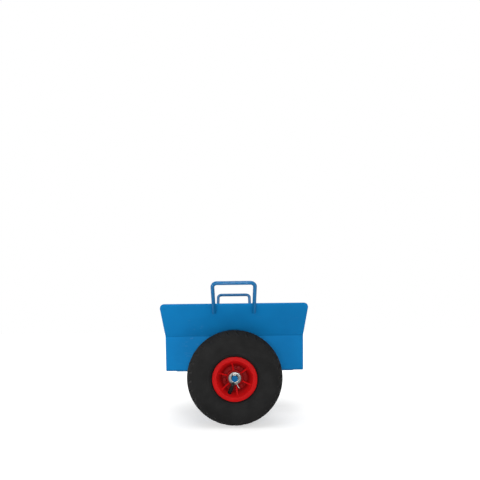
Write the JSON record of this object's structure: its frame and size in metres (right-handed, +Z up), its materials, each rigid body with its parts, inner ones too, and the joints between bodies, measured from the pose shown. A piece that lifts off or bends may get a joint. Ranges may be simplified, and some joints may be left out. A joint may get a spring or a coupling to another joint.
{
  "type": "sheet goods cart",
  "caption": "Wheeled cart whose hinged steel jaws close on the lower edge of a board, with a flared mouth, a bar handle on each jaw and a pneumatic wheel on each side.",
  "frame": {"origin": "on the floor under the middle of the hinge, midway between the wheels", "axes": "+X along the board and the hinge, +Y from the front half to the rear half, +Z up"},
  "size_m": [0.4, 0.3414, 0.3842],
  "materials": {
    "blue_paint": "blue powder coat with a light satin gloss on bent sheet steel and bar",
    "pad_rubber": "dark ribbed rubber lining",
    "tyre_rubber": "black tyre rubber, dull on the side wall",
    "tube_rubber": "black butyl rubber",
    "red_plastic": "moulded red plastic, slightly glossy",
    "zinc_steel": "bright zinc-plated steel",
    "bearing_steel": "ground steel",
    "black_rubber": "black valve rubber",
    "black_plastic": "black moulded plastic"
  },
  "bodies": {
    "front_jaw": {"front_jaw_plate": "blue_paint", "front_handle": "blue_paint", "front_clamp_pad": "pad_rubber", "front_foot_pad": "pad_rubber", "front_hinge_knuckle_1": "blue_paint", "front_hinge_knuckle_2": "blue_paint", "front_hinge_knuckle_3": "blue_paint", "front_axle": "blue_paint", "front_axle_collar": "blue_paint", "front_inner_washer": "zinc_steel", "front_outer_washer": "zinc_steel", "front_axle_split_pin": "zinc_steel", "hinge_rod": "zinc_steel", "hinge_washer_left": "zinc_steel", "hinge_washer_right": "zinc_steel", "hinge_cap_left": "zinc_steel", "hinge_cap_right": "zinc_steel"},
    "rear_jaw": {"rear_jaw_plate": "blue_paint", "rear_handle": "blue_paint", "rear_clamp_pad": "pad_rubber", "rear_foot_pad": "pad_rubber", "rear_hinge_knuckle_1": "blue_paint", "rear_hinge_knuckle_2": "blue_paint", "rear_hinge_knuckle_3": "blue_paint", "rear_axle": "blue_paint", "rear_axle_collar": "blue_paint", "rear_inner_washer": "zinc_steel", "rear_outer_washer": "zinc_steel", "rear_axle_split_pin": "zinc_steel"},
    "front_wheel": {"front_tyre": "tyre_rubber", "front_inner_tube": "tube_rubber", "front_rim_outer_half": "red_plastic", "front_rim_inner_half": "red_plastic", "front_rim_bolt_1": "zinc_steel", "front_rim_bolt_2": "zinc_steel", "front_rim_bolt_3": "zinc_steel", "front_bearing_sleeve": "bearing_steel", "front_valve_stem": "black_rubber", "front_valve_cap": "black_plastic"},
    "rear_wheel": {"rear_tyre": "tyre_rubber", "rear_inner_tube": "tube_rubber", "rear_rim_outer_half": "red_plastic", "rear_rim_inner_half": "red_plastic", "rear_rim_bolt_1": "zinc_steel", "rear_rim_bolt_2": "zinc_steel", "rear_rim_bolt_3": "zinc_steel", "rear_bearing_sleeve": "bearing_steel", "rear_valve_stem": "black_rubber", "rear_valve_cap": "black_plastic"},
    "front_rollers": {"front_roller_cage": "bearing_steel"},
    "rear_rollers": {"rear_roller_cage": "bearing_steel"}
  },
  "joints": [
    {"name": "jaw_hinge", "type": "hinge", "parent": "front_jaw", "child": "rear_jaw", "pos_m": [0, 0, 0.1422], "axis": [-1, 0, 0], "range_deg": [-33, 25]},
    {"name": "front_wheel_spin", "type": "hinge", "parent": "front_jaw", "child": "front_wheel", "pos_m": [0, -0.1027, 0.13], "axis": [0, 1, 0], "continuous": true},
    {"name": "rear_wheel_spin", "type": "hinge", "parent": "rear_jaw", "child": "rear_wheel", "pos_m": [0, 0.1027, 0.13], "axis": [0, 1, 0], "continuous": true},
    {"name": "front_roller_spin", "type": "hinge", "parent": "front_jaw", "child": "front_rollers", "pos_m": [0, -0.1027, 0.13], "axis": [0, 1, 0], "continuous": true},
    {"name": "rear_roller_spin", "type": "hinge", "parent": "rear_jaw", "child": "rear_rollers", "pos_m": [0, 0.1027, 0.13], "axis": [0, 1, 0], "continuous": true}
  ],
  "couplings": [
    {"joint": "front_roller_spin", "follows": "front_wheel_spin", "ratio": 0.6},
    {"joint": "rear_roller_spin", "follows": "rear_wheel_spin", "ratio": 0.6}
  ]
}
